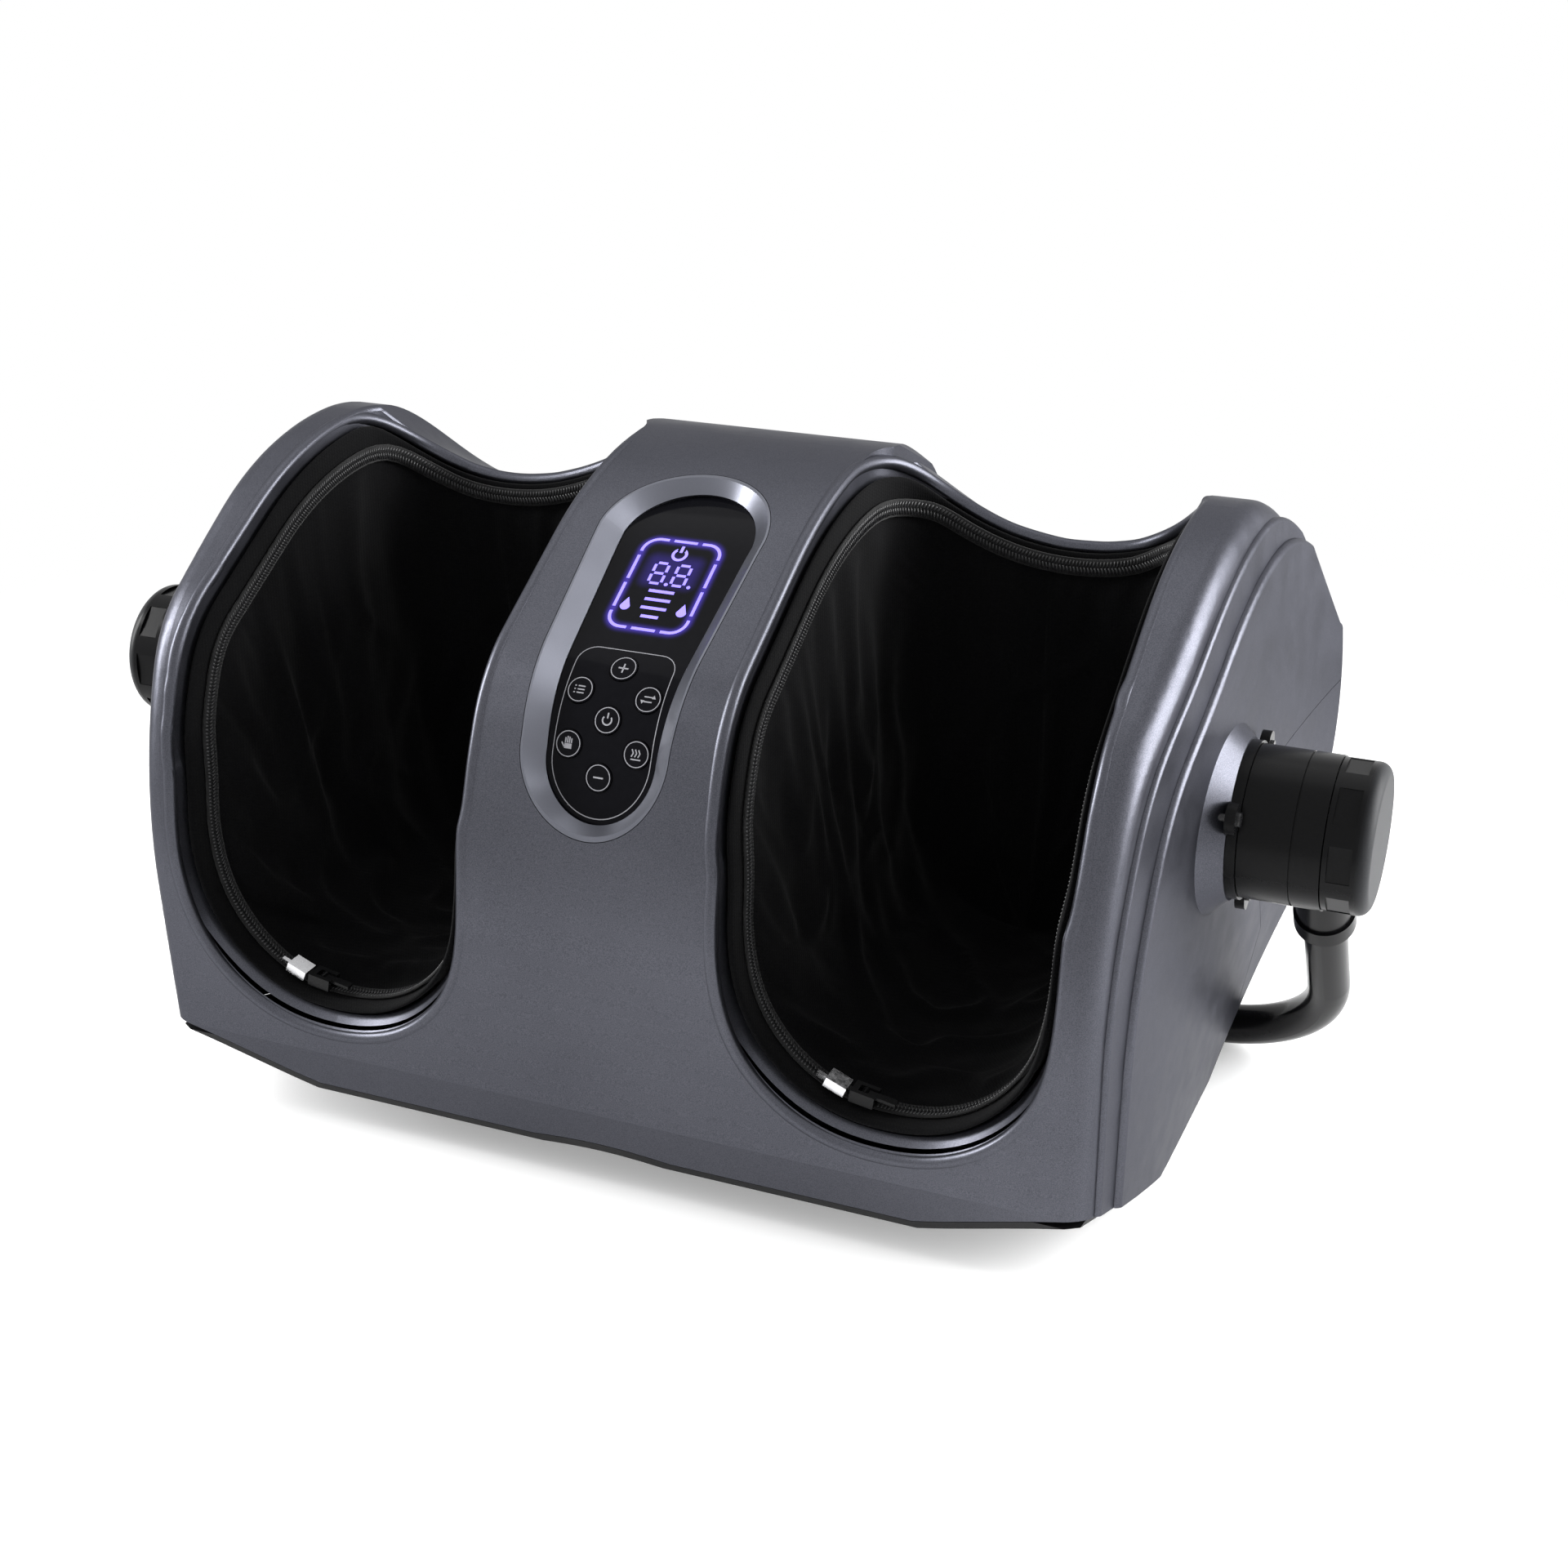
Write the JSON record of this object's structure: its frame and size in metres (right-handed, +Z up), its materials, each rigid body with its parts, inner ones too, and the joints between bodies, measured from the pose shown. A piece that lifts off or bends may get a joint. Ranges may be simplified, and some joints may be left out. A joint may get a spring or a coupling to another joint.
{
  "type": "foot massager",
  "caption": "Foot and calf massager with padded wells either side of an arched control console and a U-shaped swinging carry bar held by side knobs.",
  "frame": {"origin": "middle of the footprint's bounding box on the floor, under the rubber feet", "axes": "+Z up, -Y towards the open front of the wells, +X towards the knob on the right of the front view"},
  "size_m": [0.5612, 0.2933, 0.2762],
  "materials": {
    "bar_black": "gloss black powder coat on steel tube",
    "base_black": "matt black",
    "belt_rubber": "black belt",
    "bezel_silver": "satin silver lacquer",
    "board_green": "green circuit board",
    "disc_white": "white moulded discs on the shaft",
    "display_lit": "lit violet-blue symbols",
    "foot_rubber": "black rubber",
    "frame_grey": "grey moulded frame",
    "heater_orange": "heating foil",
    "hub_black": "black moulded plastic",
    "key_black": "gloss black with a lit ring",
    "key_rubber": "translucent white rubber",
    "lens_black": "gloss black",
    "lining_fabric": "soft black knit",
    "motor_steel": "plated motor can",
    "plain_black": "matt black",
    "plate_white": "white moulded plate",
    "roller_grey": "grey nubbed roller",
    "screw_black": "black screw",
    "screw_steel": "zinc plated",
    "shaft_steel": "ground steel",
    "shell_silver": "metallic grey lacquer, satin gloss",
    "zip_black": "black enamel",
    "zip_fabric": "black zip tape with coil teeth",
    "zip_silver": "bright nickel"
  },
  "bodies": {
    "housing": {"base_screws": "screw_steel", "base_tray": "base_black", "bearing_brackets": "frame_grey", "board_parts": "plain_black", "chassis": "frame_grey", "clamp_nuts": "screw_steel", "console_bezel": "bezel_silver", "control_board": "board_green", "display_module": "plain_black", "display_symbols": "display_lit", "drive_belt": "belt_rubber", "flange_screws": "screw_black", "front_shell": "shell_silver", "heating_pad_left": "heater_orange", "heating_pad_right": "heater_orange", "hub_flange_left": "hub_black", "hub_flange_right": "hub_black", "key_membrane": "key_rubber", "main_board": "board_green", "motor": "motor_steel", "motor_mount": "frame_grey", "panel_carrier": "plain_black", "panel_lens": "lens_black", "power_inlet": "plain_black", "rear_shell": "shell_silver", "roller_axles": "shaft_steel", "rubber_feet": "foot_rubber", "well_back_plates": "frame_grey", "well_lining_left": "lining_fabric", "well_lining_right": "lining_fabric", "zip_chain_left": "zip_fabric", "zip_chain_right": "zip_fabric", "zip_slider_left": "zip_black", "zip_slider_right": "zip_black", "zip_stops": "zip_silver"},
    "handle": {"bar_hub_left": "hub_black", "bar_hub_right": "hub_black", "bar_tube": "bar_black"},
    "knob_left": {"clamp_knob_left": "hub_black"},
    "knob_right": {"clamp_knob_right": "hub_black"},
    "key_speed_up": {"key_speed_up": "key_black"},
    "key_mode": {"key_mode": "key_black"},
    "key_direction": {"key_direction": "key_black"},
    "key_power": {"key_power": "key_black"},
    "key_manual": {"key_manual": "key_black"},
    "key_heat": {"key_heat": "key_black"},
    "key_speed_down": {"key_speed_down": "key_black"},
    "zip_pull_left": {"zip_pull_left": "zip_black"},
    "zip_pull_right": {"zip_pull_right": "zip_black"},
    "knead_plate_left_outer": {"knead_plate_left_outer": "plate_white"},
    "knead_plate_left_inner": {"knead_plate_left_inner": "plate_white"},
    "sole_roller_left_front": {"sole_roller_left_front": "roller_grey"},
    "sole_roller_left_rear": {"sole_roller_left_rear": "roller_grey"},
    "knead_plate_right_inner": {"knead_plate_right_inner": "plate_white"},
    "knead_plate_right_outer": {"knead_plate_right_outer": "plate_white"},
    "sole_roller_right_front": {"sole_roller_right_front": "roller_grey"},
    "sole_roller_right_rear": {"sole_roller_right_rear": "roller_grey"},
    "drive_shaft": {"drive_shaft": "disc_white"},
    "motor_rotor": {"motor_rotor": "shaft_steel"}
  },
  "joints": [
    {"name": "handle_swing", "type": "hinge", "parent": "housing", "child": "handle", "pos_m": [0, -0.0231, 0.16], "axis": [1, 0, 0], "range_deg": [0, 145]},
    {"name": "knob_left_turn", "type": "hinge", "parent": "housing", "child": "knob_left", "pos_m": [-0.27, -0.0231, 0.16], "axis": [-1, 0, 0], "range_deg": [0, 360]},
    {"name": "knob_right_turn", "type": "hinge", "parent": "housing", "child": "knob_right", "pos_m": [0.27, -0.0231, 0.16], "axis": [1, 0, 0], "range_deg": [0, 360]},
    {"name": "key_speed_up_press", "type": "slide", "parent": "housing", "child": "key_speed_up", "axis": [0, 0.5752, -0.818], "range_m": [0, 0.0005], "stiffness_N_per_m": 1500, "springref_m": -0.0003},
    {"name": "key_mode_press", "type": "slide", "parent": "housing", "child": "key_mode", "axis": [0, 0.7318, -0.6815], "range_m": [0, 0.0005], "stiffness_N_per_m": 1500, "springref_m": -0.0003},
    {"name": "key_direction_press", "type": "slide", "parent": "housing", "child": "key_direction", "axis": [0, 0.7318, -0.6815], "range_m": [0, 0.0005], "stiffness_N_per_m": 1500, "springref_m": -0.0003},
    {"name": "key_power_press", "type": "slide", "parent": "housing", "child": "key_power", "axis": [0, 0.846, -0.5333], "range_m": [0, 0.0005], "stiffness_N_per_m": 1500, "springref_m": -0.0003},
    {"name": "key_manual_press", "type": "slide", "parent": "housing", "child": "key_manual", "axis": [0, 0.9199, -0.3921], "range_m": [0, 0.0005], "stiffness_N_per_m": 1500, "springref_m": -0.0003},
    {"name": "key_heat_press", "type": "slide", "parent": "housing", "child": "key_heat", "axis": [0, 0.9199, -0.3921], "range_m": [0, 0.0005], "stiffness_N_per_m": 1500, "springref_m": -0.0003},
    {"name": "key_speed_down_press", "type": "slide", "parent": "housing", "child": "key_speed_down", "axis": [0, 0.9411, -0.3382], "range_m": [0, 0.0005], "stiffness_N_per_m": 1500, "springref_m": -0.0003},
    {"name": "zip_pull_left_lift", "type": "hinge", "parent": "housing", "child": "zip_pull_left", "pos_m": [-0.13354, -0.1285, 0.06812], "axis": [0, -1, 0], "range_deg": [0, 120]},
    {"name": "zip_pull_right_lift", "type": "hinge", "parent": "housing", "child": "zip_pull_right", "pos_m": [0.11106, -0.1285, 0.06812], "axis": [0, -1, 0], "range_deg": [0, 120]},
    {"name": "knead_plate_left_outer_rock", "type": "hinge", "parent": "housing", "child": "knead_plate_left_outer", "pos_m": [-0.1928, -0.0415, 0.1], "axis": [0, 0, 1], "range_deg": [-1.5, 1.5]},
    {"name": "knead_plate_left_inner_rock", "type": "hinge", "parent": "housing", "child": "knead_plate_left_inner", "pos_m": [-0.0518, -0.0415, 0.1], "axis": [0, 0, 1], "range_deg": [-1.5, 1.5]},
    {"name": "sole_roller_left_front_spin", "type": "hinge", "parent": "housing", "child": "sole_roller_left_front", "pos_m": [-0.1223, -0.0625, 0.039], "axis": [1, 0, 0], "continuous": true},
    {"name": "sole_roller_left_rear_spin", "type": "hinge", "parent": "housing", "child": "sole_roller_left_rear", "pos_m": [-0.1223, -0.0105, 0.039], "axis": [1, 0, 0], "continuous": true},
    {"name": "knead_plate_right_inner_rock", "type": "hinge", "parent": "housing", "child": "knead_plate_right_inner", "pos_m": [0.0518, -0.0415, 0.1], "axis": [0, 0, 1], "range_deg": [-1.5, 1.5]},
    {"name": "knead_plate_right_outer_rock", "type": "hinge", "parent": "housing", "child": "knead_plate_right_outer", "pos_m": [0.1928, -0.0415, 0.1], "axis": [0, 0, 1], "range_deg": [-1.5, 1.5]},
    {"name": "sole_roller_right_front_spin", "type": "hinge", "parent": "housing", "child": "sole_roller_right_front", "pos_m": [0.1223, -0.0625, 0.039], "axis": [1, 0, 0], "continuous": true},
    {"name": "sole_roller_right_rear_spin", "type": "hinge", "parent": "housing", "child": "sole_roller_right_rear", "pos_m": [0.1223, -0.0105, 0.039], "axis": [1, 0, 0], "continuous": true},
    {"name": "drive_shaft_spin", "type": "hinge", "parent": "housing", "child": "drive_shaft", "pos_m": [0, 0.0815, 0.105], "axis": [1, 0, 0], "continuous": true},
    {"name": "motor_rotor_spin", "type": "hinge", "parent": "housing", "child": "motor_rotor", "pos_m": [0, 0.0185, 0.062], "axis": [1, 0, 0], "continuous": true}
  ],
  "couplings": [
    {"joint": "motor_rotor_spin", "follows": "drive_shaft_spin", "ratio": 4.4444}
  ]
}
